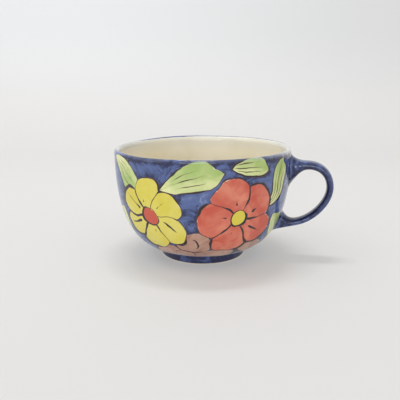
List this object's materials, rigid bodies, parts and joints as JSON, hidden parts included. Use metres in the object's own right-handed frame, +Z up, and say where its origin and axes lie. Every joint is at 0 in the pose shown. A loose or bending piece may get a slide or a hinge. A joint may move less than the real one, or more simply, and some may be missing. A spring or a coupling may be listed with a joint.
{
  "type": "mug",
  "caption": "Wide low ceramic mug with a rounded bowl, a short foot ring and an open strap handle, for coffee, tea or soup.",
  "frame": {"origin": "middle of the ring that the mug stands on", "axes": "+Z up along the axis of the bowl, +X from the axis out through the handle"},
  "size_m": [0.1425, 0.115, 0.072],
  "materials": {
    "glaze": "gloss glaze, cobalt blue and painted outside, cream inside"
  },
  "bodies": {
    "root": {"mug": "glaze"}
  },
  "joints": []
}
